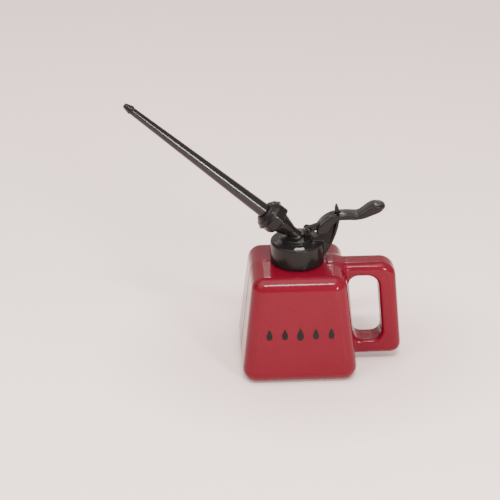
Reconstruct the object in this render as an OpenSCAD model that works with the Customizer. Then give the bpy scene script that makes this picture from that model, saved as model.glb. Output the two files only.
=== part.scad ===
// Pump oil can: a blow-moulded bottle with a loop handle, and a thumb-lever
// piston pump whose head is also the screw cap. Millimetres, +Z up.
// The origin is the middle of the bottle's base. The spout points to -X,
// the handle is on +X, and the broad front face looks to -Y.

/* [Bottle] */
// Side of the square base
base_side = 92; // [88:1:100]
// Side of the square shoulder at the top
top_side = 77; // [75:1:84]
// Height of the bottle without its filler neck
bottle_height = 90; // [88:1:100]
// Radius of the bottle's rounded edges
edge_radius = 11; // [8:1:12]
// Wall thickness of the blow moulding
wall = 1.6; // [1.2:0.1:2]

/* [Handle] */
// Thickness of the handle from front to back
handle_depth = 22; // [20:1:26]
// Distance from the bottle's axis to the handle's outer side, at the base
handle_reach = 86; // [84:1:92]
// Height of the finger hole
finger_hole_height = 59; // [54:1:60]

/* [Cap and pump] */
// Radius of the screw cap
cap_radius = 21.6; // [21.4:0.1:22.5]
// Height of the screw cap
cap_height = 17.8; // [17:0.1:19]
// Distance of the piston rod from the bottle's axis
rod_x = 8; // [7.8:0.1:8.2]
// Radius of the piston rod
rod_radius = 2; // [1.8:0.1:2.2]
// Inner radius of the pump barrel
barrel_bore = 5; // [4.8:0.1:5.2]

/* [Lever] */
// Width of the thumb lever
lever_width = 14; // [13.6:0.1:15]
// Angle the lever turns through when it is pressed
lever_travel = 18; // [12:1:18]

/* [Spout] */
// Angle of the spout above the horizontal
spout_angle = 41; // [40:0.5:42]
// Length of the spout from the nut's face to the nozzle's point
spout_length = 143; // [100:1:180]
// Radius of the spout where it leaves the nut
spout_root_radius = 5.8; // [5.4:0.1:5.8]
// Radius of the spout where the nozzle begins
spout_end_radius = 3; // [2.8:0.1:3.4]

/* [Hidden] */

hull_fn = 32;
round_fn = 72;
small_fn = 36;
fit = 0.05;          // radial clearance of a running fit
gap = 0.4;           // clearance between parts that pass each other
cut = 1;             // how far a cutting tool runs past a face
through = 40;        // longer than any hole that runs right through

// Bottle
base_half = base_side / 2;
top_half = top_side / 2;
neck_radius = 17.8;
neck_bore = 15.6;
neck_top = bottle_height + 13.2;
thread_radius = 18.5;
thread_pitch = 4;
thread_turns = 3;
thread_start = bottle_height + 2.6;
thread_step = 0.5;
neck_root = 4;

// Handle, drawn in the XZ plane
handle_lean = (base_half - top_half) / bottle_height;
handle_top = bottle_height - 1.2;
handle_bottom = 6.2;
handle_edge = 6;
handle_corner_top = 12;
handle_corner_bottom = 9;
handle_wall = 1.6;
hole_bottom = 19;
hole_top = hole_bottom + finger_hole_height;
hole_corner = 9;
hole_width = 24.5;
hole_offset = 0.9;
handle_root = 16;

// Cap
cap_bottom = bottle_height + 0.5;
cap_top = cap_bottom + cap_height;
cap_ceiling = neck_top + 1.5;
cap_bore = 18.9;
cap_edge = 1.2;
gasket_play = 0.3;
hub_radius = 12.8;
hub_top = cap_top + 3.1;
socket_depth = 2.2;
socket_top = cap_ceiling + socket_depth;

// Pump barrel and what runs in it
barrel_radius = 6.5;
barrel_bottom = 38;
valve_top = 49;
ball_radius = 2;
ball_play = 0.02;
seat_radius = 1.3;
chamber_radius = 2.6;
valve_floor = 41;
valve_roof = 1.5;
drain_radius = 0.7;
drain_reach = seat_radius + 0.9;
foot_flange = 2;
spigot_bottom = 31;
spigot_radius = 2.6;
tube_radius = 4;
tube_bottom = 11;
strainer_bottom = 5;
strainer_radius = tube_radius + 0.8;
strainer_plug = 4;
strainer_wall = 0.8;
strainer_floor = 1;
slot_count = 8;
slot_width = 1;
slot_margin = 1.2;
piston_bottom = 52;
piston_height = 8;
piston_play = 0.3;
cup_start = 2.5;
cup_height = 3;
cup_radius = barrel_bore - 1.6;
rod_socket = 1;
spring_turns = 12;
gallery_radius = 3;
gallery_top = cap_top + 0.9;
seal_radius = 3.4;
seal_height = 1.2;
gland_radius = seal_radius + 1;
gland_top = hub_top + 0.8;
spring_mean = 3.8;
spring_wire = 0.45;

// Rod head and link
pin_z = cap_top + 8.5;
link_radius = 1.2;
head_bottom = gland_top + gap;
head_half_x = 3.3;
head_floor = 1;
ear_outer = 4.4;
ear_inner = 2.6;
tongue_half = 2.2;
slot_play = 0.35;
tongue_wall = 1.2;
tongue_root = [19, cap_top + 12.2];

// Lever pivot and fin
pivot = [28.3, cap_top + 16.9];
pivot_radius = 1.2;
boss_radius = 2.6;
web_half = 2;
fin_half = 5.2;
fin_thickness = 2.2;
fin_shoulder = cap_top + 18.2;
lever_plate = 1.8;
flange_thickness = 1.5;
lever_ear_outer = 4.8;
lever_ear_inner = 2.3;
ear_thickness = lever_ear_outer - lever_ear_inner;
ear_shoulder = 1.4;
ear_rise = 3.6;
tip_slot_start = pivot[0] + 1.6;
tip_slot_length = 5.2;
tip_slot_play = 0.5;

// Spout line: it crosses the hub's axis plane at this point and rises to -X
spout_cross = [1, cap_top + 2.5];
nut_face = 36.3;     // all distances on the spout line start at spout_cross
nut_back = 21.5;
nut_dome = 3;
nut_across_flats = 22.6;
nut_round = 11.9;
neck_end = 29.3;
neck_shoulder = 20.4;
neck_big = 8.3;
neck_small = 4.7;
neck_narrow = 7.5;
neck_thread = 8;
neck_collar = 1.4;
neck_buried = 4;
valve_bore = 3.2;
valve_seat = 18;
passage = 1.2;
passage_reach = 6;
outlet_ball_radius = 2.4;
bush_length = 1.8;
bush_bore = 1.2;
outlet_coil = 1.9;
outlet_wire = 0.25;
outlet_turns = 5;
washer_thickness = 1.5;
flange_length = 2.4;
flange_radius = 7.2;
spout_bore = 1.5;
nozzle_length = 7.5;
nozzle_barb = 3.75;
nozzle_tip = 1.65;
nozzle_bore = 0.6;
nozzle_plug = 5;

curve_steps = 8;

// One point of a cubic curve through a and d, with handles b and c
function bezier(a, b, c, d, t) =
    a * pow(1 - t, 3) + 3 * b * t * pow(1 - t, 2) + 3 * c * t * t * (1 - t) + d * pow(t, 3);

// The points of one stretch, without its last point
function stretch(p) = [for (i = [0:curve_steps - 1]) bezier(p[0], p[1], p[2], p[3], i / curve_steps)];

// A line moved sideways by a distance that may change from its start to its end
function moved(path, start, finish) = [for (i = [0:len(path) - 1])
    let (before = path[max(i - 1, 0)],
         after = path[min(i + 1, len(path) - 1)],
         along = (after - before) / norm(after - before),
         offset = start + (finish - start) * i / (len(path) - 1))
    path[i] + offset * [along[1], -along[0]]];

function reversed(path) = [for (i = [len(path) - 1:-1:0]) path[i]];

// Extrudes an outline that is drawn in the XZ plane, centred on Y = 0
module plate_xz(width) {
    rotate([90, 0, 0])
        linear_extrude(width, center = true)
            children();
}

// A cylinder along Y through a point [x, z]
module pin_y(at, radius, length) {
    translate([at[0], 0, at[1]])
        rotate([90, 0, 0])
            cylinder(r = radius, h = length, center = true, $fn = small_fn);
}

// Places children on the spout line, with their +Z along the spout
module on_spout(distance) {
    translate([spout_cross[0], 0, spout_cross[1]])
        rotate([0, spout_angle - 90, 0])
            translate([0, 0, distance])
                children();
}

module on_rod(z) {
    translate([rod_x, 0, z])
        children();
}

module ring(outer, inner, height) {
    rotate_extrude($fn = round_fn)
        translate([inner, 0])
            square([outer - inner, height]);
}

// A coil of round wire that stands on z = 0
module coil(mean, wire, height, turns) {
    steps = 16;
    sides = 6;
    rings = turns * steps;
    points = [for (i = [0:rings], j = [0:sides - 1])
        let (turn = i * 360 / steps,
             round_wire = j * 360 / sides,
             reach = mean + wire * cos(round_wire))
        [reach * cos(turn), reach * sin(turn),
         wire + (height - 2 * wire) * i / rings + wire * sin(round_wire)]];
    skin = [for (i = [0:rings - 1], j = [0:sides - 1])
        let (next = (j + 1) % sides)
        [i * sides + j, i * sides + next, (i + 1) * sides + next, (i + 1) * sides + j]];
    first = [for (j = [sides - 1:-1:0]) j];
    last = [for (j = [0:sides - 1]) rings * sides + j];
    polyhedron(points, concat(skin, [first, last]));
}

// ---- Bottle ----

module tapered_block(inset) {
    radius = edge_radius - inset;
    hull()
        for (sx = [-1, 1], sy = [-1, 1]) {
            translate([sx * (base_half - edge_radius), sy * (base_half - edge_radius), edge_radius])
                sphere(r = radius, $fn = hull_fn);
            translate([sx * (top_half - edge_radius), sy * (top_half - edge_radius),
                       bottle_height - edge_radius])
                sphere(r = radius, $fn = hull_fn);
        }
}

// The handle's slab, rounded all over; its left end is buried in the bottle
module handle_slab(inset) {
    tube = handle_edge - inset;
    side = handle_depth / 2 - handle_edge;
    buried = base_half - handle_root;
    top_z = handle_top - handle_corner_top;
    bottom_z = handle_bottom + handle_corner_bottom;
    hull()
        for (sy = [-1, 1]) {
            corner(top_z, handle_corner_top, tube, sy * side);
            corner(bottom_z, handle_corner_bottom, tube, sy * side);
            for (z = [handle_bottom + handle_edge, handle_top - handle_edge])
                translate([buried, sy * side, z])
                    sphere(r = tube, $fn = hull_fn);
        }
}

module corner(z, radius, tube, y) {
    translate([handle_reach - handle_lean * z - radius, y, z])
        rotate([90, 0, 0])
            rotate_extrude($fn = hull_fn)
                intersection() {
                    translate([radius - handle_edge, 0])
                        circle(r = tube, $fn = hull_fn);
                    translate([0, -radius])
                        square(2 * radius);
                }
}

// The finger hole's outline, grown by a margin
module finger_outline(margin) {
    hull()
        for (z = [hole_bottom + hole_corner, hole_top - hole_corner],
             x = [hole_corner, hole_width - hole_corner])
            translate([base_half + hole_offset - handle_lean * z + x, z])
                circle(r = hole_corner + margin, $fn = hull_fn);
}

module can_body() {
    color("firebrick")
        difference() {
            union() {
                tapered_block(0);
                difference() {
                    handle_slab(0);
                    plate_xz(handle_depth + 2 * cut)
                        finger_outline(0);
                }
                translate([0, 0, bottle_height - neck_root])
                    cylinder(r = neck_radius, h = neck_top - bottle_height + neck_root, $fn = round_fn);
                for (i = [0:thread_turns - 1])
                    translate([0, 0, thread_start + i * thread_pitch])
                        rotate_extrude($fn = round_fn)
                            polygon([[neck_radius - 1, 0], [neck_radius, 0],
                                     [thread_radius, thread_step], [thread_radius, 2 * thread_step],
                                     [neck_radius, 3 * thread_step], [neck_radius - 1, 3 * thread_step]]);
            }
            tapered_block(wall);
            difference() {
                handle_slab(handle_wall);
                plate_xz(handle_depth + 2 * cut)
                    finger_outline(handle_wall);
            }
            translate([0, 0, bottle_height - edge_radius])
                cylinder(r = neck_bore, h = neck_top - bottle_height + edge_radius + cut, $fn = round_fn);
        }
}

module cap_gasket() {
    color("dimgray")
        translate([0, 0, neck_top])
            ring(cap_bore - gasket_play, neck_bore, cap_ceiling - neck_top);
}

// ---- Cap and pump head ----

// Outer face of the fin: up from the cap's side, over the shoulder, to the tip
fin_outer = concat(
    stretch([[19.9, cap_top - 14.4], [27.3, cap_top - 5], [31.3, cap_top + 3.4], [33.4, cap_top + 16.4]]),
    stretch([[33.4, cap_top + 16.4], [34.4, cap_top + 22.4], [33.6, cap_top + 27.2],
             [31.8, cap_top + 30.2]]),
    [[31.8, cap_top + 30.2]]);
fin_inner = moved(fin_outer, -fin_thickness, -fin_thickness * 0.8);

module fin_outline() {
    polygon(concat(fin_outer, reversed(fin_inner)));
}

module web_outline() {
    foot = hub_radius - 3;
    flank = cap_radius - 2;
    crown = boss_radius * 0.7;
    polygon(concat([for (p = fin_outer) if (p[1] < fin_shoulder - 1) p - [0.5, 0]],
                   [pivot + [crown, crown], pivot + [-crown, crown], pivot - [boss_radius, 1],
                    [foot + 8, cap_top + 5], [foot, cap_top], [foot, cap_top - 3],
                    [flank, cap_top - 3], [flank, cap_top - 14]]));
}

module fin() {
    intersection() {
        plate_xz(2 * fin_half)
            fin_outline();
        translate([0, -fin_half, 0])
            cube([handle_reach, 2 * fin_half, fin_shoulder]);
    }
    plate_xz(2 * web_half)
        fin_outline();
    plate_xz(2 * web_half)
        web_outline();
}

module outlet_neck() {
    difference() {
        on_spout(-neck_buried)
            cylinder(r = neck_small, h = neck_buried + neck_narrow, $fn = round_fn);
        translate([rod_x - gland_radius - gap, -through / 2, cap_top])
            cube(through);
    }
    on_spout(neck_narrow)
        cylinder(r1 = neck_small, r2 = neck_big, h = neck_shoulder - neck_collar - neck_narrow,
                 $fn = round_fn);
    on_spout(neck_shoulder - neck_collar)
        cylinder(r = neck_big, h = neck_collar, $fn = round_fn);
    on_spout(neck_shoulder)
        cylinder(r = neck_thread, h = neck_end - neck_shoulder, $fn = round_fn);
}

module cap_shell() {
    difference() {
        union() {
            translate([0, 0, cap_bottom])
                rotate_extrude($fn = round_fn) {
                    square([cap_radius - cap_edge, cap_height]);
                    square([cap_radius, cap_height - cap_edge]);
                    translate([cap_radius - cap_edge, cap_height - cap_edge])
                        circle(r = cap_edge, $fn = small_fn);
                }
            translate([0, 0, cap_top - 1])
                cylinder(r = hub_radius, h = hub_top - cap_top + 1, $fn = round_fn);
        }
        translate([0, 0, cap_bottom - cut])
            cylinder(r = cap_bore, h = cap_ceiling - cap_bottom + cut, $fn = round_fn);
    }
}

module pump_cap() {
    color("#262524")
        difference() {
            union() {
                cap_shell();
                outlet_neck();
                difference() {
                    fin();
                    translate([0, 0, cap_bottom - cut])
                        cylinder(r = cap_bore + 0.5, h = cap_ceiling - cap_bottom + cut, $fn = round_fn);
                }
            }
            on_rod(cap_ceiling - cut)
                cylinder(r = barrel_radius, h = socket_depth + cut, $fn = round_fn);
            on_rod(socket_top - cut)
                cylinder(r = gallery_radius, h = gallery_top - socket_top + cut, $fn = small_fn);
            on_rod(gallery_top - cut)
                cylinder(r = rod_radius + fit, h = through, $fn = small_fn);
            on_rod(gallery_top)
                cylinder(r = seal_radius, h = through, $fn = small_fn);
            on_spout(-passage_reach)
                cylinder(r = passage, h = valve_seat + passage_reach, $fn = small_fn);
            on_spout(valve_seat)
                cylinder(r = valve_bore, h = through, $fn = small_fn);
            pin_y(pivot, pivot_radius, through);
        }
}

module rod_seal() {
    color("#1b1b1b")
        on_rod(gallery_top)
            ring(seal_radius, rod_radius + fit, seal_height);
}

module rod_gland() {
    color("#2c2b2a")
        on_rod(gallery_top + seal_height)
            difference() {
                union() {
                    cylinder(r = seal_radius, h = gland_top - gallery_top - seal_height, $fn = small_fn);
                    translate([0, 0, hub_top - gallery_top - seal_height])
                        cylinder(r = gland_radius, h = gland_top - hub_top, $fn = 6);
                }
                translate([0, 0, -cut])
                    cylinder(r = rod_radius + fit, h = through, $fn = small_fn);
            }
}

module pump_barrel() {
    color("whitesmoke")
        on_rod(barrel_bottom)
            ring(barrel_radius, barrel_bore, socket_top - barrel_bottom);
}

// Pressed into the barrel's lower end: seat, ball chamber and tube spigot
module foot_valve() {
    color("gainsboro")
        on_rod(0)
            difference() {
                union() {
                    translate([0, 0, barrel_bottom])
                        cylinder(r = barrel_bore, h = valve_top - barrel_bottom, $fn = round_fn);
                    translate([0, 0, barrel_bottom - foot_flange])
                        cylinder(r = barrel_radius, h = foot_flange, $fn = round_fn);
                    translate([0, 0, spigot_bottom])
                        cylinder(r = spigot_radius, h = barrel_bottom - spigot_bottom, $fn = small_fn);
                }
                translate([0, 0, spigot_bottom - cut])
                    cylinder(r = seat_radius, h = through, $fn = small_fn);
                translate([0, 0, valve_floor])
                    cylinder(r = chamber_radius, h = valve_top - valve_floor - valve_roof, $fn = small_fn);
                translate([0, 0, valve_top - valve_roof - cut])
                    for (turn = [0:3])
                        rotate([0, 0, 45 + 90 * turn])
                            translate([drain_reach, 0, 0])
                                cylinder(r = drain_radius, h = valve_roof + 2 * cut, $fn = 16);
            }
}

module inlet_ball() {
    color("silver")
        on_rod(valve_floor + sqrt(pow(ball_radius, 2) - pow(seat_radius, 2)) + ball_play)
            sphere(r = ball_radius, $fn = small_fn);
}

module dip_tube() {
    color("lightgray")
        on_rod(tube_bottom)
            ring(tube_radius, spigot_radius, barrel_bottom - foot_flange - tube_bottom);
}

// A plug with a slotted skirt that keeps dirt out of the tube
module inlet_strainer() {
    color("gainsboro")
        on_rod(strainer_bottom)
            difference() {
                union() {
                    cylinder(r = strainer_radius, h = tube_bottom - strainer_bottom, $fn = small_fn);
                    translate([0, 0, tube_bottom - strainer_bottom])
                        cylinder(r = spigot_radius, h = strainer_plug, $fn = small_fn);
                }
                translate([0, 0, strainer_floor])
                    cylinder(r = spigot_radius - strainer_wall, h = through, $fn = small_fn);
                for (turn = [0:slot_count - 1])
                    rotate([0, 0, turn * 360 / slot_count])
                        translate([0, -slot_width / 2, slot_margin])
                            cube([through, slot_width, tube_bottom - strainer_bottom - 2 * slot_margin]);
            }
}

module piston() {
    color("whitesmoke")
        on_rod(piston_bottom)
            difference() {
                cylinder(r = barrel_bore - piston_play, h = piston_height, $fn = round_fn);
                translate([0, 0, cup_start])
                    ring(barrel_bore + cut, cup_radius, cup_height);
                translate([0, 0, rod_socket])
                    cylinder(r = rod_radius, h = through, $fn = small_fn);
            }
}

module piston_cup() {
    color("#222222")
        on_rod(piston_bottom + cup_start)
            ring(barrel_bore - fit, cup_radius, cup_height);
}

module piston_rod() {
    color("silver")
        on_rod(piston_bottom + rod_socket)
            cylinder(r = rod_radius, h = head_bottom + head_floor - piston_bottom - rod_socket,
                     $fn = small_fn);
}

module return_spring() {
    color("lightsteelblue")
        on_rod(piston_bottom + piston_height)
            coil(spring_mean, spring_wire, socket_top - piston_bottom - piston_height, spring_turns);
}

// ---- Linkage ----

link_at = [rod_x, pin_z];

// Fork on top of the piston rod; the lever's tongue lies between its ears
module rod_head() {
    color("#2c2b2a")
        difference() {
            union() {
                translate([rod_x - head_half_x, -ear_outer, head_bottom])
                    cube([2 * head_half_x, 2 * ear_outer, pin_z - head_bottom]);
                pin_y(link_at, head_half_x, 2 * ear_outer);
            }
            translate([rod_x - through / 2, -ear_inner, head_bottom + head_floor])
                cube([through, 2 * ear_inner, through]);
            on_rod(head_bottom - cut)
                cylinder(r = rod_radius, h = head_floor + 2 * cut, $fn = small_fn);
            pin_y(link_at, link_radius, through);
        }
}

module link_pin() {
    color("silver")
        pin_y(link_at, link_radius, 2 * ear_outer);
}

module lever_pin() {
    color("silver")
        pin_y(pivot, pivot_radius, 2 * lever_ear_outer);
}

// How far the rod rises over the lever's travel
link_arm = pivot - link_at;
rod_stroke = link_arm[0] * sin(lever_travel) + link_arm[1] * (1 - cos(lever_travel));

// Where the link pin is at full travel, seen from the lever
function seen_from_lever(rise, turn) =
    let (x = -link_arm[0], z = rise - link_arm[1])
    pivot + [x * cos(turn) - z * sin(turn), x * sin(turn) + z * cos(turn)];

// Top line of the lever, from its nose over the fin to the thumb rest's lip
lever_top = concat(
    stretch([[15, cap_top + 8.2], [17.2, cap_top + 16.6], [25.2, cap_top + 22.9], [36, cap_top + 23.1]]),
    stretch([[36, cap_top + 23.1], [40, cap_top + 23.3], [44.5, cap_top + 22.5], [48, cap_top + 22.6]]),
    stretch([[48, cap_top + 22.6], [52, cap_top + 22.9], [56.5, cap_top + 30.3], [63, cap_top + 30.6]]),
    stretch([[63, cap_top + 30.6], [66.4, cap_top + 30.6], [69.4, cap_top + 29.4], [70, cap_top + 26.8]]),
    [[70, cap_top + 26.8]]);

// Lower line of the side flanges, from the thumb rest's lip back to the nose
lever_underside = concat(
    [[68, cap_top + 26.4]],
    stretch([[64, cap_top + 26.4], [58, cap_top + 25.4], [53, cap_top + 19.5], [46, cap_top + 19.4]]),
    stretch([[46, cap_top + 19.4], [40, cap_top + 19.6], [33, cap_top + 20.2], [30, cap_top + 18.4]]),
    stretch([[30, cap_top + 18.4], [26, cap_top + 14.5], [25.4, cap_top + 8.1], [20.5, cap_top + 7.6]]),
    [[17, cap_top + 7.2]]);

module lever_plate_outline() {
    polygon(concat(lever_top, reversed(moved(lever_top, lever_plate, lever_plate))));
}

module lever_flange_outline() {
    polygon(concat(lever_top, lever_underside));
}

// The tongue that reaches between the fork's ears
module tongue_outline(margin, inner) {
    far = seen_from_lever(rod_stroke, lever_travel);
    radius = link_radius + slot_play + margin;
    hull() {
        translate(link_at)
            circle(r = radius, $fn = hull_fn);
        translate(inner ? far : tongue_root)
            circle(r = radius, $fn = hull_fn);
    }
}

module lever_side(sy) {
    translate([0, sy * (lever_width - flange_thickness) / 2, 0])
        plate_xz(flange_thickness)
            lever_flange_outline();
    translate([0, sy * (lever_ear_outer + lever_ear_inner) / 2, 0])
        union() {
            pin_y(pivot, boss_radius, ear_thickness);
            translate([pivot[0] - boss_radius, -ear_thickness / 2, pivot[1]])
                cube([boss_radius + ear_shoulder, ear_thickness, ear_rise]);
        }
}

module thumb_lever() {
    color("#2a2928")
        difference() {
            union() {
                plate_xz(lever_width)
                    lever_plate_outline();
                lever_side(-1);
                lever_side(1);
                plate_xz(2 * tongue_half)
                    tongue_outline(tongue_wall, false);
            }
            plate_xz(through)
                tongue_outline(0, true);
            pin_y(pivot, pivot_radius + fit, 2 * lever_ear_outer + 0.2);
            translate([tip_slot_start, -web_half - tip_slot_play, pivot[1]])
                cube([tip_slot_length, 2 * (web_half + tip_slot_play), through]);
        }
}

// ---- Outlet and spout ----

ball_height = sqrt(pow(outlet_ball_radius, 2) - pow(passage, 2)) + ball_play;
spring_start = valve_seat + ball_height + 1.7;

module outlet_ball() {
    color("silver")
        on_spout(valve_seat + ball_height)
            sphere(r = outlet_ball_radius, $fn = small_fn);
}

module outlet_spring() {
    color("lightsteelblue")
        on_spout(spring_start)
            coil(outlet_coil, outlet_wire, neck_end - bush_length - spring_start, outlet_turns);
}

module outlet_bush() {
    color("gainsboro")
        on_spout(neck_end - bush_length)
            ring(valve_bore, bush_bore, bush_length);
}

module spout_washer() {
    color("#8a5a3c")
        on_spout(neck_end)
            ring(flange_radius, spout_bore, washer_thickness);
}

module spout_tube() {
    tube_end = nut_face + spout_length - nozzle_length;
    flange_at = neck_end + washer_thickness;
    color("#2a2928")
        difference() {
            union() {
                on_spout(flange_at)
                    cylinder(r = flange_radius, h = flange_length, $fn = round_fn);
                on_spout(flange_at)
                    cylinder(r = spout_root_radius, h = nut_face - flange_at, $fn = round_fn);
                on_spout(nut_face)
                    cylinder(r1 = spout_root_radius, r2 = spout_end_radius, h = tube_end - nut_face,
                             $fn = round_fn);
            }
            on_spout(flange_at - cut)
                cylinder(r = spout_bore, h = tube_end - flange_at + 2 * cut, $fn = small_fn);
        }
}

// Barbed nozzle, pressed into the spout's end
module spout_nozzle() {
    color("#2a2928")
        on_spout(nut_face + spout_length - nozzle_length)
            difference() {
                union() {
                    cylinder(r1 = nozzle_barb, r2 = nozzle_tip, h = nozzle_length, $fn = round_fn);
                    translate([0, 0, -nozzle_plug])
                        cylinder(r = spout_bore, h = nozzle_plug, $fn = small_fn);
                }
                translate([0, 0, -nozzle_plug - cut])
                    cylinder(r = nozzle_bore, h = nozzle_plug + nozzle_length + 2 * cut, $fn = 24);
            }
}

module spout_nut() {
    color("#262524")
        difference() {
            union() {
                intersection() {
                    on_spout(nut_back)
                        cylinder(r = nut_across_flats / sqrt(3), h = nut_face - nut_dome - nut_back,
                                 $fn = 6);
                    on_spout(nut_back)
                        cylinder(r1 = nut_across_flats / sqrt(3) + 0.6, r2 = nut_round,
                                 h = nut_face - nut_dome - nut_back, $fn = round_fn);
                }
                on_spout(nut_face - nut_dome)
                    cylinder(r1 = nut_round - 0.8, r2 = nut_round - 3.5, h = nut_dome, $fn = round_fn);
            }
            on_spout(nut_back - cut)
                cylinder(r = neck_thread + fit, h = nut_face - nut_dome - nut_back + cut, $fn = round_fn);
            on_spout(nut_back)
                cylinder(r = spout_root_radius + fit, h = through, $fn = round_fn);
        }
}

can_body();
cap_gasket();
pump_cap();
rod_seal();
rod_gland();
pump_barrel();
foot_valve();
inlet_ball();
dip_tube();
inlet_strainer();
piston();
piston_cup();
piston_rod();
return_spring();
rod_head();
link_pin();
lever_pin();
thumb_lever();
outlet_ball();
outlet_spring();
outlet_bush();
spout_washer();
spout_tube();
spout_nozzle();
spout_nut();
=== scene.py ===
import math

import bpy
import numpy as np
from mathutils import Matrix, Vector


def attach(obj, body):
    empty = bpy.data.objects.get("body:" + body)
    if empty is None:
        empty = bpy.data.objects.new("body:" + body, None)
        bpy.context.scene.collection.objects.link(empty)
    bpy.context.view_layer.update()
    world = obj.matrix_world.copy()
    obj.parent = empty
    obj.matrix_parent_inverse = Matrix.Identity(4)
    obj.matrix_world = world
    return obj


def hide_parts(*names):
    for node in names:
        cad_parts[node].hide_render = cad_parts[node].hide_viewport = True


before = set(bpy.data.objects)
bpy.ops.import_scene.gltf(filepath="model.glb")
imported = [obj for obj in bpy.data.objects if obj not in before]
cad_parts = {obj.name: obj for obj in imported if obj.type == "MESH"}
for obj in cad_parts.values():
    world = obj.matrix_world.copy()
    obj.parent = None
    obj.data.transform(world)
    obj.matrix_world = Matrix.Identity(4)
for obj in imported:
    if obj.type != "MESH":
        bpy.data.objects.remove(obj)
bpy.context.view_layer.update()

# Shapes are worked out in millimetres and scaled once, when a mesh is made.
MM = 0.001

# ---------------------------------------------------------------- sizes
BASE_HALF, TOP_HALF, HEIGHT = 46.0, 38.5, 90.0
EDGE = 11.0
LEAN = (BASE_HALF - TOP_HALF) / HEIGHT
WALL = 2.2
NECK_R, NECK_BORE, NECK_TOP = 17.8, 15.6, 103.2
CAP_R, CAP_LOW, CAP_TOP, CAP_BORE, CAP_CEILING = 21.6, 90.5, 108.3, 18.9, 104.7
HUB_R, HUB_TOP = 12.8, 111.4
ROD_X = 8.0
PIN = (8.0, 116.8)
PIVOT = (28.3, 125.2)
CROSS = (1.0, 110.8)
SPOUT_ANGLE = math.radians(41)
BARREL_TOP = 106.9
SEAL_LOW, SEAL_TOP = 109.2, 110.4
# Stations along the spout line: the outlet bush, the washer, the spout's two ends.
BUSH_LOW, WASHER_LOW, SPOUT_LOW, SPOUT_HIGH = 27.5, 29.3, 30.8, 171.8
DROP_COUNT, DROP_STEP, DROP_Z = 5, 12.4, 45.5
COS_30 = 0.8660254


# ---------------------------------------------------------------- distance fields
def cut_round(a, b, r):
    """What lies in both a and b, with the edge between them rounded to r."""
    return np.minimum(np.maximum(a, b), -r) + np.hypot(np.maximum(a + r, 0), np.maximum(b + r, 0))


def join_round(a, b, r):
    """a and b together, with a fillet of radius r between them."""
    return np.maximum(np.minimum(a, b), r) - np.hypot(np.maximum(r - a, 0), np.maximum(r - b, 0))


def outline(points, x, z):
    """Signed distance to a closed outline in the XZ plane, negative inside."""
    x, z = np.broadcast_arrays(x, z)
    flat_x, flat_z = x.ravel(), z.ravel()
    best = np.full(flat_x.shape, np.inf)
    inside = np.zeros(flat_x.shape, bool)
    for i in range(len(points)):
        (ax, az), (bx, bz) = points[i - 1], points[i]
        ex, ez = bx - ax, bz - az
        px, pz = flat_x - ax, flat_z - az
        length = ex * ex + ez * ez
        if length < 1e-12:
            continue
        t = np.clip((px * ex + pz * ez) / length, 0, 1)
        best = np.minimum(best, (px - t * ex) ** 2 + (pz - t * ez) ** 2)
        if az != bz:
            crosses = (az > flat_z) != (bz > flat_z)
            inside ^= crosses & (flat_x < (bx - ax) * (flat_z - az) / (bz - az) + ax)
    return (np.where(inside, -1, 1) * np.sqrt(best)).reshape(x.shape)


def capsule(x, z, a, b, r):
    ex, ez = b[0] - a[0], b[1] - a[1]
    t = np.clip(((x - a[0]) * ex + (z - a[1]) * ez) / (ex * ex + ez * ez), 0, 1)
    return np.hypot(x - a[0] - t * ex, z - a[1] - t * ez) - r


def bezier(a, b, c, d, steps):
    a, b, c, d = (np.array(p, float) for p in (a, b, c, d))
    return [tuple(a * (1 - t) ** 3 + 3 * b * t * (1 - t) ** 2 + 3 * c * t * t * (1 - t) + d * t ** 3)
            for t in np.arange(steps) / steps]


def moved(path, distance):
    out = []
    for i in range(len(path)):
        a, b = np.array(path[max(i - 1, 0)]), np.array(path[min(i + 1, len(path) - 1)])
        along = (b - a) / np.linalg.norm(b - a)
        out.append((path[i][0] + distance * along[1], path[i][1] - distance * along[0]))
    return out


def on_spout(x, z):
    """Distance along the spout line, and the other axis of its upright plane."""
    dx, dz = x - CROSS[0], z - CROSS[1]
    c, s = math.cos(SPOUT_ANGLE), math.sin(SPOUT_ANGLE)
    return -dx * c + dz * s, dx * s + dz * c


# ---------------------------------------------------------------- meshes from distance fields
def axis(low, high, step):
    n = max(int(math.ceil((high - low) / step)), 2)
    return np.linspace(low, high, n + 1)


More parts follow.
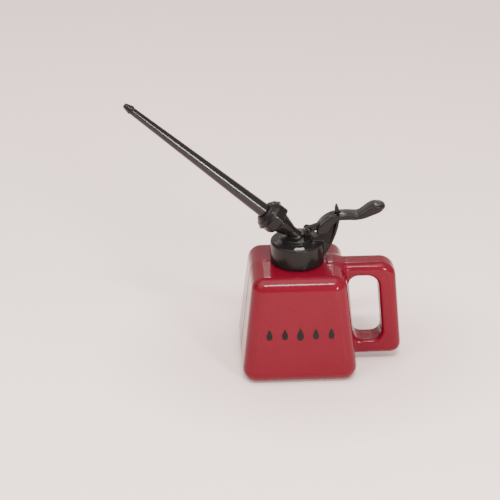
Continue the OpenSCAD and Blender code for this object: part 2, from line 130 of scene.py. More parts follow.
def skin(field, xs, ys, zs):
    """A closed quad mesh of field = 0, with exact normals: (points, quads, normals) in mm."""
    shape = (len(xs), len(ys), len(zs))
    value = np.broadcast_to(field(xs[:, None, None], ys[None, :, None], zs[None, None, :]), shape)
    inside = value < 0
    cells = tuple(n - 1 for n in shape)
    count = np.zeros(cells, int)
    for i in (0, 1):
        for j in (0, 1):
            for k in (0, 1):
                count += inside[i:cells[0] + i, j:cells[1] + j, k:cells[2] + k]
    active = (count > 0) & (count < 8)
    ids = np.full(cells, -1)
    where = np.argwhere(active)
    ids[active] = np.arange(len(where))
    axes = (xs, ys, zs)
    total = np.zeros((len(where), 3))
    hits = np.zeros(len(where))
    for a in range(3):
        for u in (0, 1):
            for v in (0, 1):
                start = where.copy()
                start[:, (a + 1) % 3] += u
                start[:, (a + 2) % 3] += v
                end = start.copy()
                end[:, a] += 1
                va, vb = value[tuple(start.T)], value[tuple(end.T)]
                hit = (va < 0) != (vb < 0)
                t = np.where(hit, va / np.where(hit, va - vb, 1), 0)
                p = np.stack([axes[b][start[:, b]] for b in range(3)], 1)
                q = np.stack([axes[b][end[:, b]] for b in range(3)], 1)
                total += np.where(hit[:, None], p + (q - p) * t[:, None], 0)
                hits += hit
    points = total / hits[:, None]

    def slope(p):
        h = 0.02
        out = []
        for b in range(3):
            step = np.zeros(3)
            step[b] = h
            hi, lo = (p + step).T, (p - step).T
            out.append((field(*hi) - field(*lo)) / (2 * h))
        return np.stack(out, 1)

    reach = max(float(np.max(np.diff(x))) for x in axes) * 0.6
    for _ in range(3):
        g = slope(points)
        size = np.maximum((g * g).sum(1), 0.2)
        move = -g * (field(*points.T) / size)[:, None]
        far = np.maximum(np.linalg.norm(move, axis=1, keepdims=True) / reach, 1)
        points = points + move / far
    normals = slope(points)
    normals /= np.maximum(np.linalg.norm(normals, axis=1, keepdims=True), 1e-9)

    quads = []
    for a in range(3):
        b, c = (a + 1) % 3, (a + 2) % 3
        lo = [slice(None)] * 3
        hi = [slice(None)] * 3
        lo[a], hi[a] = slice(0, -1), slice(1, None)
        change = inside[tuple(lo)] != inside[tuple(hi)]
        edge = np.argwhere(change)
        keep = (edge[:, b] > 0) & (edge[:, c] > 0) & (edge[:, b] < cells[b]) & (edge[:, c] < cells[c])
        edge = edge[keep]
        ring = []
        for u, v in ((-1, -1), (0, -1), (0, 0), (-1, 0)):
            cell = edge.copy()
            cell[:, b] += u
            cell[:, c] += v
            ring.append(ids[tuple(cell.T)])
        ring = np.stack(ring, 1)
        outward = inside[tuple(edge.T)]
        quads.append(np.where(outward[:, None], ring, ring[:, ::-1]))
    return points, np.concatenate(quads), normals


def mesh_object(name, points, faces, normals, place=None):
    """An object at the origin whose mesh is in metres in the row frame."""
    points = np.asarray(points, float) * MM
    mesh = bpy.data.meshes.new(name)
    mesh.from_pydata(points.tolist(), [], [list(map(int, f)) for f in faces])
    if place is not None:
        mesh.transform(place)
        normals = np.asarray(normals) @ np.array(place.to_3x3()).T
    mesh.polygons.foreach_set("use_smooth", [True] * len(mesh.polygons))
    mesh.update()
    mesh.normals_split_custom_set_from_vertices(np.asarray(normals).tolist())
    obj = bpy.data.objects.new(name, mesh)
    bpy.context.scene.collection.objects.link(obj)
    return obj


def formed(name, field, low, high, step, finer=None):
    """A piece from a distance field. finer is extra Y positions for a narrow feature."""
    axes = [axis(a, b, step) for a, b in zip(low, high)]
    if finer is not None:
        axes[1] = np.unique(np.concatenate([axes[1][np.abs(axes[1]) > abs(finer).max() + step * 0.3], finer]))
    points, quads, normals = skin(field, *axes)
    return mesh_object(name, points, quads, normals)


# ---------------------------------------------------------------- turned pieces
def rounded(profile, steps):
    """Rounds each (r, z, radius) corner of a closed profile; returns points and outward normals."""
    corners = [np.array(p[:2], float) for p in profile]
    radii = [p[2] for p in profile]
    area = sum(corners[i - 1][0] * corners[i][1] - corners[i][0] * corners[i - 1][1]
               for i in range(len(corners)))
    if area < 0:
        corners.reverse()
        radii.reverse()
    points, normals = [], []
    for i, (p, q) in enumerate(zip(corners, radii)):
        a, b = corners[i - 1], corners[(i + 1) % len(corners)]
        u, v = (a - p), (b - p)
        lu, lv = np.linalg.norm(u), np.linalg.norm(v)
        u, v = u / lu, v / lv
        n1, n2 = np.array((-u[1], u[0])), np.array((v[1], -v[0]))
        if p[0] < 1e-6:
            points.append(p)
            normals.append(n2 if abs(a[0]) < 1e-6 else n1)
            continue
        half = math.acos(float(np.clip(u @ v, -1, 1))) / 2
        if abs(half - math.pi / 2) < 1e-4:
            points.append(p)
            normals.append(n1)
            continue
        back = min(q / math.tan(half), 0.48 * lu, 0.48 * lv)
        q = back * math.tan(half)
        middle = (u + v) / np.linalg.norm(u + v)
        centre = p + middle * q / math.sin(half)
        side = 1 if n1 @ middle < 0 else -1
        turn = math.atan2(n1[0] * n2[1] - n1[1] * n2[0], n1 @ n2)
        for k in range(steps + 1):
            c, s = math.cos(turn * k / steps), math.sin(turn * k / steps)
            n = np.array((n1[0] * c - n1[1] * s, n1[0] * s + n1[1] * c))
            points.append(centre + side * q * n)
            normals.append(n)
    return points, normals


def turned(name, profile, place=None, around=96, steps=4):
    """A piece turned on local Z from a closed profile in mm."""
    points, normals = rounded(profile, steps)
    verts, norms, rows = [], [], []
    angles = np.arange(around) * 2 * math.pi / around
    for p, n in zip(points, normals):
        if p[0] < 1e-6:
            rows.append([len(verts)] * around)
            verts.append((0, 0, p[1]))
            norms.append((0, 0, math.copysign(1, n[1])))
            continue
        rows.append(list(range(len(verts), len(verts) + around)))
        verts += [(p[0] * math.cos(t), p[0] * math.sin(t), p[1]) for t in angles]
        norms += [(n[0] * math.cos(t), n[0] * math.sin(t), n[1]) for t in angles]
    faces = []
    for i in range(len(rows)):
        lower, upper = rows[i], rows[(i + 1) % len(rows)]
        if lower[0] == lower[1] and upper[0] == upper[1]:
            continue
        for j in range(around):
            k = (j + 1) % around
            face = []
            for index in (lower[j], lower[k], upper[k], upper[j]):
                if index not in face:
                    face.append(index)
            faces.append(face)
    return mesh_object(name, verts, faces, norms, place)


def coil(name, mean, wire, low, high, turns, place, sides=10):
    """A spring of round wire with closed ends, on local Z, in mm."""
    steps = 28
    dead = 1.2
    n = int((turns + 2 * dead) * steps)
    t = np.arange(n + 1) / steps
    pitch = (high - low - 2 * wire - 4 * wire * dead) / turns
    rise = np.where(t < dead, t * 2 * wire,
                    np.where(t < dead + turns, dead * 2 * wire + (t - dead) * pitch,
                             dead * 2 * wire + turns * pitch + (t - dead - turns) * 2 * wire))
    angle = t * 2 * math.pi
    verts, norms = [], []
    for a, z in zip(angle, rise + low + wire):
        for j in range(sides):
            w = j * 2 * math.pi / sides
            n3 = (math.cos(w) * math.cos(a), math.cos(w) * math.sin(a), math.sin(w))
            verts.append((mean * math.cos(a) + wire * n3[0], mean * math.sin(a) + wire * n3[1],
                          z + wire * n3[2]))
            norms.append(n3)
    faces = []
    for i in range(n):
        for j in range(sides):
            k = (j + 1) % sides
            faces.append((i * sides + j, (i + 1) * sides + j, (i + 1) * sides + k, i * sides + k))
    faces.append(tuple(range(sides)))
    faces.append(tuple(n * sides + j for j in range(sides - 1, -1, -1)))
    return mesh_object(name, verts, faces, norms, place)


# ---------------------------------------------------------------- materials
def nodes_of(name):
    material = bpy.data.materials.new(name)
    material.use_nodes = True
    tree = material.node_tree
    shader = tree.nodes["Principled BSDF"]
    place = tree.nodes.new("ShaderNodeTexCoord")
    return material, tree, shader, place.outputs["Object"]


def noise(tree, where, scale, detail=4, rough=0.55, distort=0.0):
    node = tree.nodes.new("ShaderNodeTexNoise")
    node.inputs["Scale"].default_value = scale
    node.inputs["Detail"].default_value = detail
    node.inputs["Roughness"].default_value = rough
    node.inputs["Distortion"].default_value = distort
    tree.links.new(where, node.inputs["Vector"])
    return node.outputs["Fac"]


def spread(tree, value, low, high, to_low, to_high):
    node = tree.nodes.new("ShaderNodeMapRange")
    node.inputs["From Min"].default_value = low
    node.inputs["From Max"].default_value = high
    node.inputs["To Min"].default_value = to_low
    node.inputs["To Max"].default_value = to_high
    tree.links.new(value, node.inputs["Value"])
    return node.outputs["Result"]


def combine(tree, operation, a, b):
    node = tree.nodes.new("ShaderNodeMath")
    node.operation = operation
    for value, socket in zip((a, b), node.inputs):
        if isinstance(value, (int, float)):
            socket.default_value = value
        else:
            tree.links.new(value, socket)
    return node.outputs["Value"]


def between(tree, share, a, b):
    node = tree.nodes.new("ShaderNodeMix")
    node.data_type = "RGBA"
    tree.links.new(share, node.inputs["Factor"])
    for value, socket in ((a, node.inputs[6]), (b, node.inputs[7])):
        if isinstance(value, tuple):
            socket.default_value = (*value, 1)
        else:
            tree.links.new(value, socket)
    return node.outputs[2]


def raised(tree, shader, height, distance):
    node = tree.nodes.new("ShaderNodeBump")
    node.inputs["Strength"].default_value = 1.0
    node.inputs["Distance"].default_value = distance
    tree.links.new(height, node.inputs["Height"])
    tree.links.new(node.outputs["Normal"], shader.inputs["Normal"])


def stretched(tree, where, scale):
    node = tree.nodes.new("ShaderNodeMapping")
    node.inputs["Scale"].default_value = scale
    tree.links.new(where, node.inputs["Vector"])
    return node.outputs["Vector"]


def moulded(name, colour, shade, rough, coat=0.0, coat_rough=0.05, peel=0.00002, peel_scale=260.0, scuff=0.1,
            shine=0.5):
    """Moulded plastic: slow tone changes, fine orange peel, light handling marks."""
    material, tree, shader, where = nodes_of(name)
    tone = spread(tree, noise(tree, where, 22, 3), 0.3, 0.7, 0, 1)
    tree.links.new(between(tree, tone, colour, shade), shader.inputs["Base Color"])
    rubbed = noise(tree, stretched(tree, where, (1, 0.35, 1.7)), 240, 8, 0.72, 1.4)
    marks = spread(tree, rubbed, 0.6, 0.74, 0, scuff)
    haze = spread(tree, noise(tree, where, 55, 5), 0.3, 0.75, rough * 0.85, rough * 1.2)
    tree.links.new(combine(tree, "ADD", marks, haze), shader.inputs["Roughness"])
    shader.inputs["IOR"].default_value = 1.5
    shader.inputs["Specular IOR Level"].default_value = shine
    shader.inputs["Coat Weight"].default_value = coat
    shader.inputs["Coat Roughness"].default_value = coat_rough
    fine = noise(tree, where, peel_scale, 2)
    grain = noise(tree, where, peel_scale * 9, 2)
    raised(tree, shader, combine(tree, "ADD", fine, combine(tree, "MULTIPLY", grain, 0.12)), peel)
    return material


def metal(name, colour, shade, rough):
    """Drawn or turned metal with fine marks round it."""
    material, tree, shader, where = nodes_of(name)
    marks = noise(tree, stretched(tree, where, (1.0, 1.0, 30.0)), 90, 6, 0.7)
    tone = spread(tree, noise(tree, where, 60, 3), 0.35, 0.65, 0, 1)
    tree.links.new(between(tree, tone, colour, shade), shader.inputs["Base Color"])
    shader.inputs["Metallic"].default_value = 1.0
    tree.links.new(spread(tree, marks, 0.3, 0.7, rough * 0.7, rough * 1.5), shader.inputs["Roughness"])
    raised(tree, shader, marks, 0.00001)
    return material


def rubber(name, colour, shade):
    material, tree, shader, where = nodes_of(name)
    tone = spread(tree, noise(tree, where, 90, 5), 0.35, 0.7, 0, 1)
    tree.links.new(between(tree, tone, colour, shade), shader.inputs["Base Color"])
    bloom = noise(tree, where, 900, 4)
    tree.links.new(spread(tree, bloom, 0.3, 0.7, 0.45, 0.7), shader.inputs["Roughness"])
    raised(tree, shader, bloom, 0.00003)
    return material


def fibre(name, colour, shade):
    """Pressed fibre sheet: fine crossed strands."""
    material, tree, shader, where = nodes_of(name)
    strands = combine(tree, "ADD", noise(tree, stretched(tree, where, (6, 1, 1)), 500, 5, 0.7),
                      noise(tree, stretched(tree, where, (1, 6, 1)), 500, 5, 0.7))
    tree.links.new(between(tree, spread(tree, strands, 0.8, 1.2, 0, 1), colour, shade),
                   shader.inputs["Base Color"])
    tree.links.new(spread(tree, strands, 0.8, 1.2, 0.65, 0.9), shader.inputs["Roughness"])
    raised(tree, shader, strands, 0.00006)
    return material


RED = moulded("bottle_red", (0.119, 0.0039, 0.0126), (0.110, 0.0034, 0.0113), 0.16, coat=0.05,
              coat_rough=0.04, peel=0.000022, peel_scale=130, scuff=0.05, shine=0.135)
BLACK = moulded("pump_black", (0.0062, 0.0056, 0.0053), (0.0090, 0.0082, 0.0078), 0.24, coat=0.10,
                coat_rough=0.03, peel=0.00002, peel_scale=260, scuff=0.10, shine=0.105)
SPOUT = moulded("spout_black", (0.0062, 0.0058, 0.0060), (0.0090, 0.0086, 0.0088), 0.25, coat=0.10,
                coat_rough=0.06, peel=0.000015, peel_scale=320, scuff=0.10, shine=0.23)
NATURAL = moulded("natural_plastic", (0.66, 0.64, 0.58), (0.58, 0.56, 0.50), 0.3, peel=0.00002,
                  peel_scale=300, scuff=0.15)
NATURAL.node_tree.nodes["Principled BSDF"].inputs["Subsurface Weight"].default_value = 0.15
NATURAL.node_tree.nodes["Principled BSDF"].inputs["Subsurface Radius"].default_value = (0.002, 0.0018, 0.0014)
INK = moulded("print_black", (0.0075, 0.0055, 0.0055), (0.0120, 0.0090, 0.0090), 0.3, peel=0.00001,
              peel_scale=900, scuff=0.15, shine=0.12)
SEAL = rubber("seal_rubber", (0.012, 0.012, 0.013), (0.022, 0.021, 0.021))
STEEL = metal("steel", (0.60, 0.59, 0.57), (0.50, 0.49, 0.47), 0.22)
SPRING = metal("spring_steel", (0.46, 0.47, 0.50), (0.36, 0.36, 0.39), 0.3)
FIBRE = fibre("fibre", (0.20, 0.085, 0.035), (0.11, 0.045, 0.020))
PAINT = {"bottle_red": RED, "pump_black": BLACK, "spout_black": SPOUT, "natural_plastic": NATURAL,
         "seal_rubber": SEAL, "steel": STEEL, "spring_steel": SPRING, "fibre": FIBRE}


def finish_piece(piece, slot, body, *nodes, material=None):
    piece.data.materials.clear()
    piece.data.materials.append(material or PAINT[slot])
    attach(piece, body)
    if nodes:
        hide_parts(*nodes)


# ---------------------------------------------------------------- bottle
def block(x, y, z):
    """The tapered bottle: a square frustum grown by its edge radius, with a slightly pitched top."""
    z = z + 0.028 * np.maximum(np.abs(y) - 2, 0) * np.clip((z - 60) / 30, 0, 1)
    x, y, z = np.broadcast_arrays(np.abs(x), np.abs(y), z)
    low, high = EDGE, HEIGHT - EDGE
    h_low, h_high = BASE_HALF - EDGE, TOP_HALF - EDGE
    k = (h_high - h_low) / (high - low)
    s = np.clip(z, low, high)
    for _ in range(3):
        half = h_low + k * (s - low)
        ax, ay = x > half, y > half
        top = z + k * (np.where(ax, x - h_low + k * low, 0) + np.where(ay, y - h_low + k * low, 0))
        s = np.clip(top / (1 + k * k * (ax.astype(float) + ay)), low, high)
    half = h_low + k * (s - low)
    ox, oy, oz = np.maximum(x - half, 0), np.maximum(y - half, 0), z - s
    out = np.sqrt(ox * ox + oy * oy + oz * oz)
    slant = 1 / math.sqrt(1 + k * k)
    deep = np.maximum(np.maximum((x - h_low - k * (z - low)) * slant, (y - h_low - k * (z - low)) * slant),
                      np.maximum(low - z, z - high))
    return np.where(out > 1e-9, out, np.minimum(deep, 0)) - EDGE


def handle(x, y, z):
    right = (x - (86.0 - LEAN * z)) / math.sqrt(1 + LEAN * LEAN)
    shape = cut_round(z - 88.8, right, 12.0)
    shape = cut_round(6.2 - z, shape, 9.0)
    slab = cut_round(shape, np.abs(y) - 11.0, 6.0)
    slab = np.maximum(slab, 26.0 - x)
    left = BASE_HALF + 0.9 - LEAN * z
    hole = cut_round(left - x, x - left - 24.5, 9.0)
    hole = cut_round(hole, np.maximum(19.0 - z, z - 78.0), 9.0)
    return cut_round(slab, -hole, 3.2)


def bottle(x, y, z):
    outer = join_round(block(x, y, z), handle(x, y, z), 3.5)
    neck = np.hypot(x, y)
    outer = join_round(outer, np.maximum(neck - NECK_R, z - 96), 1.6)
    seam = 0.22 * np.exp(-(y / 0.32) ** 2) * np.clip(outer + 1, 0, 1)
    hollow = 0.35 * np.maximum(np.maximum(np.abs(x), np.abs(y)) - 30, 0) + z - 1.3
    outer = cut_round(outer, -hollow, 1.0)
    shell = np.maximum(outer - seam, -(outer + WALL))
    return np.maximum(shell, np.where(z > 80, 16.7 - neck, -1000.0))


seam_rows = np.array([-0.9, -0.55, -0.32, -0.15, 0.0, 0.15, 0.32, 0.55, 0.9])
body = formed("bottle_skin", bottle, (-48, -48, -1), (89, 48, 98), 1.35, seam_rows)
finish_piece(body, "bottle_red", "can", "can_body")


def neck():
    """The filler neck: a turned tube with a raised thread that climbs round it."""
    def shape(x, y, z):
        r = np.hypot(x, y)
        wall = cut_round(cut_round(r - NECK_R, NECK_BORE - r, 0.5), np.maximum(z - NECK_TOP, 84 - z), 0.5)
        turn = np.arctan2(y, x) / (2 * math.pi)
        crest = np.abs(((z - 93.4 - 4 * turn + 2) % 4) - 2)
        start = np.clip(np.minimum(z - 91.6, 102.6 - z) / 1.2, 0, 1)
        thread = np.maximum(r - NECK_R - 0.75 * start, crest * 0.75 - 0.75 + np.maximum(r - NECK_R, 0) * 0.5)
        return join_round(wall, np.maximum(thread, NECK_R - 1 - r), 0.2)
    return formed("filler_neck", shape, (-19.5, -19.5, 83.5), (19.5, 19.5, 104), 0.55)


finish_piece(neck(), "bottle_red", "can")


def printed_drops():
    """A row of plain oil drops printed on the flat front, each a thin film of ink."""
    k = (TOP_HALF - BASE_HALF) / (HEIGHT - 2 * EDGE)
    tilt = math.atan(-k)
    verts, faces, norms = [], [], []
    normal = (0, -math.cos(tilt), math.sin(tilt))
    for i in range(DROP_COUNT):
        place = i - DROP_COUNT // 2
        size = 1.0 if place == 0 else 0.86
        rim = []
        for t in np.linspace(0, 2 * math.pi, 48, endpoint=False):
            u = 3.9 * math.sin(t) * (0.5 - 0.5 * math.cos(t)) ** 0.62
            v = 5.6 * math.cos(t)
            rim.append((size * u + DROP_STEP * place, size * (v - 1.0)))
        for lift in (-0.3, 0.06):
            for u, v in rim:
                z = DROP_Z + v * math.cos(tilt)
                y = -(BASE_HALF - EDGE + k * (z - EDGE) + EDGE * math.sqrt(1 + k * k))
                verts.append((u, y + normal[1] * lift, z + normal[2] * lift))
                norms.append(normal)
        n, base = len(rim), len(verts) - 2 * len(rim)
        faces.append([base + n + j for j in reversed(range(n))])
        faces.append([base + j for j in range(n)])
        faces += [[base + n + j, base + n + (j + 1) % n, base + (j + 1) % n, base + j] for j in range(n)]
    return mesh_object("front_print", verts, faces, norms)


finish_piece(printed_drops(), "bottle_red", "can", material=INK)

# ---------------------------------------------------------------- cap, hub, outlet neck and fin
FIN = (bezier((19.9, 93.9), (27.3, 103.3), (31.3, 111.7), (33.4, 124.7), 10)
       + bezier((33.4, 124.7), (34.4, 130.7), (33.6, 135.5), (31.8, 138.5), 8) + [(31.8, 138.5)])
FIN_INNER = (bezier((30.5, 138.3), (29.7, 135.9), (29.2, 132.9), (31.2, 131.6), 6) + [(31.4, 131.2)]
             + bezier((31.3, 129.6), (31.0, 121.0), (28.6, 112.2), (25.4, 104.6), 8)
             + bezier((25.4, 104.6), (23.2, 100.6), (20.6, 97.2), (18.1, 94.6), 5) + [(18.1, 94.6)])
FIN_PLATE = FIN + FIN_INNER
WEB = ([(x - 0.5, z) for x, z in FIN if z < 125.5]
       + [(30.1, 127.0), (26.5, 127.0), (25.7, 124.2), (17.8, 113.3), (9.8, 108.3), (9.8, 105.3),
          (19.6, 105.3), (19.6, 94.3)])


def pump_head(x, y, z):
    r, rod = np.hypot(x, y), np.hypot(x - ROD_X, y)
    cap_top = CAP_TOP + 0.6 - 0.07 * np.maximum(r - HUB_R, 0)
    cap = cut_round(cut_round(r - CAP_R, z - cap_top, 1.6), CAP_LOW - z, 0.4)
    hub = np.maximum(cut_round(r - HUB_R, z - HUB_TOP, 0.6), 100 - z)
    shape = join_round(cap, hub, 0.5)
    q, s = on_spout(x, z)
    ring = np.hypot(s, y)
    cone = (ring - 4.7 - np.clip(q - 7.5, 0, 11.5) * 0.313) * 0.954
    cone = cut_round(cone, q - 20.4, 0.5)
    stub = np.minimum(cone, cut_round(ring - 8.0, np.maximum(q - WASHER_LOW, 18.6 - q), 0.4))
    back = np.where(z > HUB_TOP - 1, x - 3.2, x - 3.2 - (HUB_TOP - 1 - z))
    stub = cut_round(np.maximum(stub, -q - 4), back, 0.4)
    shape = join_round(shape, stub, 1.3)
    plate = outline(FIN_PLATE, x, z)
    broad = cut_round(plate, np.maximum(np.abs(y) - 5.2, z - 126.5), 0.55)
    tip = cut_round(plate, np.abs(y) - 2.0, 0.55)
    web = cut_round(outline(WEB, x, z), np.abs(y) - 2.0 - np.clip((120.5 - z) * 0.21, -0.9, 3.1), 0.5)
    shape = join_round(shape, join_round(np.minimum(broad, tip), web, 0.9), 0.9)
    shape = cut_round(shape, -np.maximum(r - CAP_BORE, z - CAP_CEILING), 0.3)
    shape = np.maximum(shape, -np.maximum(rod - 6.5, z - BARREL_TOP))
    shape = cut_round(shape, -np.maximum(rod - 3.45, SEAL_LOW - z), 0.2)
    shape = np.maximum(shape, -np.maximum(rod - 2.15, 104 - z))
    return np.maximum(shape, -np.maximum(ring - 3.2, 18 - q))


finish_piece(formed("pump_head", pump_head, (-24, -23, 89), (36, 23, 140), 0.52),
             "pump_black", "pump", "pump_cap")

# ---------------------------------------------------------------- thumb lever
TOP_LINE = (bezier((15, 116.5), (17.2, 124.9), (25.2, 131.2), (36, 131.4), 12)
            + bezier((36, 131.4), (40, 131.6), (44.5, 130.8), (48, 130.9), 6)
            + bezier((48, 130.9), (52, 131.2), (56.5, 138.6), (63, 138.9), 12)
            + bezier((63, 138.9), (66.6, 138.9), (70.2, 138.7), (70.4, 136.3), 8) + [(70.4, 136.3)])
UNDER_LINE = ([(70.1, 135.6)] + bezier((66.5, 133.9), (60.5, 132.8), (54, 127.8), (46, 127.7), 10)
              + bezier((46, 127.7), (40, 127.9), (33, 128.5), (30, 126.7), 8)
              + bezier((30, 126.7), (26, 122.8), (25.4, 116.4), (20.5, 115.9), 10) + [(17, 115.5)])
LEVER_PLATE = TOP_LINE + moved(TOP_LINE, 1.9)[::-1]
LEVER_SIDE = TOP_LINE + UNDER_LINE
SLOT_END = (9.52, 117.30)


def lever(x, y, z):
    wide = np.abs(y)
    crowned = z + 0.016 * y * y
    half = 7.0 + 0.6 * np.clip((x - 49) / 8, 0, 1) ** 2 * (3 - 2 * np.clip((x - 49) / 8, 0, 1))
    edge = np.maximum(wide - half, (np.hypot(np.maximum(x - 60.4, 0) * 0.76, wide) - 7.6) * 0.9)
    plate = cut_round(outline(LEVER_PLATE, x, crowned), edge, 0.8)
    skirt = cut_round(outline(LEVER_SIDE, x, crowned), np.maximum(edge, -1.6 - edge), 0.55)
    shape = join_round(plate, skirt, 1.1)
    shape = cut_round(shape, cut_round(14.9 - x, wide - 7.2, 2.6), 0.5)
    bolt = np.hypot(x - PIVOT[0], z - PIVOT[1])
    ear = np.minimum(bolt - 2.6, np.maximum(np.abs(x - 27.7) - 2.0, np.abs(z - 127.4) - 2.6))
    shape = join_round(shape, cut_round(ear, np.maximum(wide - 4.8, 2.3 - wide), 0.35), 0.6)
    tongue = cut_round(capsule(x, z, PIN, (19, 120.5), 2.45), wide - 2.2, 0.45)
    shape = join_round(shape, tongue, 0.8)
    shape = cut_round(shape, -capsule(x, z, PIN, SLOT_END, 1.55), 0.2)
    shape = np.maximum(shape, -np.maximum(bolt - 1.25, wide - 4.9))
    gap = np.maximum(np.maximum(np.abs(x - 32.0) - 2.4, wide - 2.15), 125.2 - z)
    return np.maximum(shape, -gap)


finish_piece(formed("thumb_lever_skin", lever, (3, -8.5, 112), (72, 8.5, 141), 0.45),
             "pump_black", "lever", "thumb_lever")

# ---------------------------------------------------------------- rod head, gland, nut, strainer
def fork(x, y, z):
    side = np.maximum(capsule(x, z, (ROD_X, 110), PIN, 2.85), 112.6 - z)
    shape = cut_round(side, np.abs(y) - 4.4, 0.55)
    return cut_round(shape, -np.maximum(np.abs(y) - 2.6, 113.6 - z), 0.3)


def six_sided(s, y, flat, edge):
    a, b = COS_30 * s + 0.5 * y, -COS_30 * s + 0.5 * y
    return cut_round(cut_round(np.abs(a) - flat, np.abs(b) - flat, edge), np.abs(y) - flat, edge)


def gland(x, y, z):
    r = np.hypot(x - ROD_X, y)
    head = cut_round(six_sided(x - ROD_X, y, 3.81, 0.25), np.maximum(z - 112.2, HUB_TOP - z), 0.2)
    return np.maximum(np.minimum(head, np.maximum(r - 3.4, np.maximum(z - 111.9, SEAL_TOP - z))), 2.06 - r)


def nut(x, y, z):
    q, s = on_spout(x, z)
    ring = np.hypot(s, y)
    chamfer = (ring - 13.65 + (q - 21.5) * 0.148) * 0.989
    grip = cut_round(cut_round(six_sided(s, y, 11.3, 2.2), chamfer, 0.6), np.maximum(q - 30.9, 21.5 - q), 0.7)
    collar = cut_round(ring - 11.75, np.maximum(q - 34.0, 29.0 - q), 1.3)
    dome = cut_round((ring - 10.9 + (q - 33.3) * 0.8) * 0.78, q - 36.3, 0.9)
    shape = join_round(join_round(grip, collar, 0.5), np.maximum(dome, 30 - q), 0.6)
    shape = cut_round(shape, -np.maximum(ring - 8.05, q - 33.3), 0.2)
    shape = np.maximum(shape, -(ring - 5.85))
    return cut_round(shape, -np.maximum(ring - 7.0, 35.6 - q), 0.3)


def strainer(x, y, z):
    r = np.hypot(x - ROD_X, y)
    shape = cut_round(np.minimum(r - 2.6, np.maximum(r - 4.8, z - 11)), np.maximum(5 - z, z - 15), 0.4)
    shape = np.maximum(shape, -np.maximum(r - 1.8, 6 - z))
    turn = np.arctan2(y, x - ROD_X)
    slot = r * np.abs(((turn / (math.pi / 4) + 0.5) % 1) - 0.5) * math.pi / 4
    return cut_round(shape, -np.maximum(slot - 0.5, np.maximum(6.2 - z, z - 9.8)), 0.12)


coarse = 1.0
finish_piece(formed("fork", fork, (4, -5, 112), (12, 5, 121), 0.34 * coarse),
             "pump_black", "rod", "rod_head")
finish_piece(formed("gland_nut", gland, (3, -5, 110), (13, 5, 113), 0.24 * coarse),
             "pump_black", "pump", "rod_gland")
finish_piece(formed("lock_nut", nut, (-41, -15, 112), (0, 15, 149), 0.55 * coarse),
             "pump_black", "nut", "spout_nut")
finish_piece(formed("strainer_skirt", strainer, (2.5, -5.5, 4.5), (13.5, 5.5, 15.6), 0.33 * coarse),
             "natural_plastic", "pump", "inlet_strainer")


# ---------------------------------------------------------------- turned pieces
def at(x, z):
    return Matrix.Translation(Vector((x, 0, z)) * MM)


def across(x, z):
    """Places a turned piece along Y, through a point of the XZ plane."""
    return at(x, z) @ Matrix.Rotation(math.radians(-90), 4, "X")


def along_spout(distance):
    turn = Matrix.Rotation(SPOUT_ANGLE - math.pi / 2, 4, "Y")
    return at(*CROSS) @ turn @ Matrix.Translation(Vector((0, 0, distance)) * MM)


def ring_profile(outer, inner, low, high, edge):
    return [(inner, low, edge), (outer, low, edge), (outer, high, edge), (inner, high, edge)]


def pin_profile(radius, half, edge):
    return [(0, -half, 0), (radius, -half, edge), (radius, half, edge), (0, half, 0)]


rod_line = at(ROD_X, 0)
rod_profile = [(0, 53, 0), (2, 53, 0.25), (2, 113.5, 0.25), (0, 113.5, 0)]
spout_profile = [(1.5, SPOUT_LOW, 0.1), (7.2, SPOUT_LOW, 0.2), (7.2, 33.2, 0.2), (5.8, 33.2, 0.2),
                 (5.8, 36.6, 4.0), (3.25, 160.0, 9.0), (3.0, SPOUT_HIGH, 0.35), (1.5, SPOUT_HIGH, 0.1)]
nozzle_profile = [(0.6, -5.0, 0.1), (1.5, -5.0, 0.1), (1.5, -0.02, 0.05), (3.3, -0.02, 0.3),
                  (3.75, 0.7, 0.35), (2.15, 6.4, 0.6), (1.65, 7.5, 0.45), (0.6, 7.5, 0.15)]
turned_pieces = [
    ("gasket_ring", ring_profile(18.6, 15.6, 103.2, 104.7, 0.3), None, "seal_rubber", "gasket", "cap_gasket"),
    ("seal_ring", ring_profile(3.4, 2.05, SEAL_LOW, SEAL_TOP, 0.2), rod_line,
     "seal_rubber", "pump", "rod_seal"),
    ("barrel_tube", ring_profile(6.5, 5.0, 38.0, BARREL_TOP, 0.3), rod_line,
     "natural_plastic", "pump", "pump_barrel"),
    ("suction_tube", ring_profile(4.0, 2.6, 11.0, 36.0, 0.25), rod_line,
     "natural_plastic", "pump", "dip_tube"),
    ("rod_shaft", rod_profile, rod_line, "steel", "rod", "piston_rod"),
    ("link_rivet", pin_profile(1.2, 4.4, 0.3), across(*PIN), "steel", "rod", "link_pin"),
    ("lever_rivet", pin_profile(1.2, 4.8, 0.3), across(*PIVOT), "steel", "pump", "lever_pin"),
    ("bush_ring", ring_profile(3.2, 1.2, BUSH_LOW, WASHER_LOW, 0.2), along_spout(0),
     "natural_plastic", "pump", "outlet_bush"),
    ("washer_ring", ring_profile(7.2, 1.5, WASHER_LOW, SPOUT_LOW, 0.15), along_spout(0),
     "fibre", "pump", "spout_washer"),
    ("spout_pipe", spout_profile, along_spout(0), "spout_black", "pump", "spout_tube"),
    ("nozzle_tip", nozzle_profile, along_spout(SPOUT_HIGH), "spout_black", "pump", "spout_nozzle"),
]
for name, profile, place, slot, body_name, node in turned_pieces:
    finish_piece(turned(name, profile, place), slot, body_name, node)

finish_piece(coil("return_coil", 3.8, 0.45, 60.0, BARREL_TOP, 9.6, rod_line),
             "spring_steel", "rod", "return_spring")

# The hidden inner parts keep their CAD shape and get a material each.
for node, slot in (("foot_valve", "natural_plastic"), ("piston", "natural_plastic"),
                   ("piston_cup", "seal_rubber"), ("inlet_ball", "steel"), ("outlet_ball", "steel"),
                   ("outlet_spring", "spring_steel")):
    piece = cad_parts[node]
    piece.data.materials.clear()
    piece.data.materials.append(PAINT[slot])


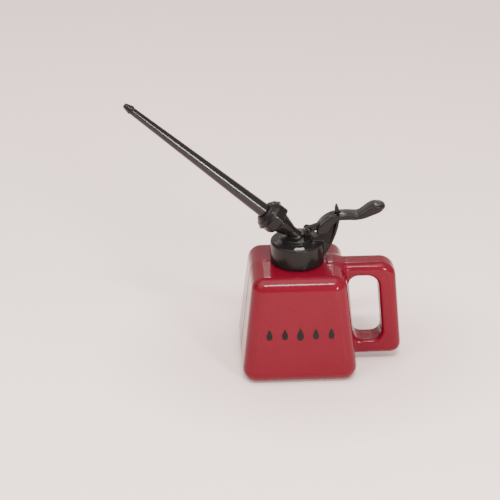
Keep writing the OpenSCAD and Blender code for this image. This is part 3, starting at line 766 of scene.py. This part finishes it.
# ---------------------------------------------------------------- camera and light
def camera():
    yaw, rise, roll, distance = math.radians(2.51), math.radians(26.86), -0.0083, 1.6058
    target = Vector((-0.0379, 0, 0.0998))
    back = Vector((-math.sin(yaw) * math.cos(rise), -math.cos(yaw) * math.cos(rise), math.sin(rise)))
    right = Vector((math.cos(yaw), -math.sin(yaw), 0))
    up = back.cross(right)
    side = math.cos(roll) * right + math.sin(roll) * up
    top = -math.sin(roll) * right + math.cos(roll) * up
    matrix = Matrix((side, top, back)).transposed().to_4x4()
    matrix.translation = target + back * distance
    data = bpy.data.cameras.new("camera")
    data.lens = 143.9
    data.sensor_width = 36
    obj = bpy.data.objects.new("camera", data)
    obj.matrix_world = matrix
    bpy.context.scene.collection.objects.link(obj)
    bpy.context.scene.camera = obj


def lamp(name, azimuth, elevation, distance, width, height, watts, colour, aim=(0, 0, 0.06)):
    """A soft box seen from the object at this azimuth from -Y towards +X, and this elevation."""
    a, e = math.radians(azimuth), math.radians(elevation)
    away = Vector((math.sin(a) * math.cos(e), -math.cos(a) * math.cos(e), math.sin(e)))
    data = bpy.data.lights.new(name, "AREA")
    data.shape = "RECTANGLE"
    data.size, data.size_y = width, height
    data.energy = watts
    data.color = colour
    obj = bpy.data.objects.new(name, data)
    obj.location = Vector(aim) + away * distance
    obj.rotation_euler = away.to_track_quat("Z", "Y").to_euler()
    bpy.context.scene.collection.objects.link(obj)


camera()
lamp("key_box", 2, 57, 1.7, 0.40, 0.13, 21, (1.0, 0.94, 0.92))
lamp("side_box", 27.1, 16.9, 1.244, 0.18, 0.18, 17, (1.0, 0.95, 0.93))
lamp("overhead_box", -20, 80, 2.4, 2.2, 2.0, 46, (1.0, 0.93, 0.91))
lamp("left_box", -60, 50, 1.2, 1.0, 0.8, 6, (1.0, 0.93, 0.90))
lamp("back_glint", 176, 35, 2.0, 0.24, 0.10, 3.4, (1.0, 0.97, 0.96), aim=(0, -0.0168, 0.1083))

world = bpy.data.worlds.new("studio")
bpy.context.scene.world = world
world.use_nodes = True
sky_tree = world.node_tree
sky = sky_tree.nodes["Background"]
facing = sky_tree.nodes.new("ShaderNodeSeparateXYZ")
sky_tree.links.new(sky_tree.nodes.new("ShaderNodeTexCoord").outputs["Generated"], facing.inputs["Vector"])
behind = combine(sky_tree, "MULTIPLY", facing.outputs["Y"], 1.15)
rise = spread(sky_tree, combine(sky_tree, "MAXIMUM", facing.outputs["Z"], behind), 0.0, 1.0, 0, 1)
sky_tree.links.new(between(sky_tree, rise, (0.26, 0.232, 0.224), (1.15, 1.03, 0.99)), sky.inputs["Color"])

floor_mesh = bpy.data.meshes.new("floor")
floor_mesh.from_pydata([(-5, -5, 0), (5, -5, 0), (5, 5, 0), (-5, 5, 0)], [], [(0, 1, 2, 3)])
floor = bpy.data.objects.new("floor", floor_mesh)
bpy.context.scene.collection.objects.link(floor)
floor_paint, floor_tree, floor_shader, floor_where = nodes_of("floor")
floor_tone = spread(floor_tree, noise(floor_tree, floor_where, 3, 3), 0.3, 0.7, 0, 1)
floor_tree.links.new(between(floor_tree, floor_tone, (0.88, 0.735, 0.70), (0.865, 0.715, 0.68)),
                     floor_shader.inputs["Base Color"])
floor_shader.inputs["Roughness"].default_value = 0.75
floor_parts = floor_tree.nodes.new("ShaderNodeSeparateXYZ")
floor_tree.links.new(floor_where, floor_parts.inputs["Vector"])
# Painted light: the floor glows, brighter towards the front and left and darker towards the back and right,
# as a painted falloff of light.
floor_painted_falloff = combine(floor_tree, "ADD", floor_parts.outputs["Y"],
                     combine(floor_tree, "MULTIPLY", floor_parts.outputs["X"], 0.35))
floor_tree.links.new(between(floor_tree, spread(floor_tree, floor_painted_falloff, -0.4, 0.9, 0, 1),
                             (1.0, 0.83, 0.75), (0.22, 0.17, 0.17)), floor_shader.inputs["Emission Color"])
# The floor's glow is painted light, and it fades to nothing near the can's foot as a painted contact shadow.
floor_reach = floor_tree.nodes.new("ShaderNodeVectorMath")
floor_reach.operation = "LENGTH"
floor_moved = floor_tree.nodes.new("ShaderNodeMapping")
floor_moved.inputs["Location"].default_value = (-0.014, 0, 0)
floor_moved.inputs["Scale"].default_value = (0.8, 1, 1)
floor_tree.links.new(floor_where, floor_moved.inputs["Vector"])
floor_tree.links.new(floor_moved.outputs["Vector"], floor_reach.inputs[0])
floor_painted_contact_shadow = spread(floor_tree, floor_reach.outputs["Value"], 0.075, 0.15, 0.0, 1.0)
# Painted light: the glow is weaker towards the front, on the camera's side.
floor_painted_glow = spread(floor_tree, floor_parts.outputs["Y"], -1.3, -0.55, 0.06, 0.6)
floor_tree.links.new(combine(floor_tree, "MULTIPLY", floor_painted_contact_shadow, floor_painted_glow),
                     floor_shader.inputs["Emission Strength"])
floor_mesh.materials.append(floor_paint)
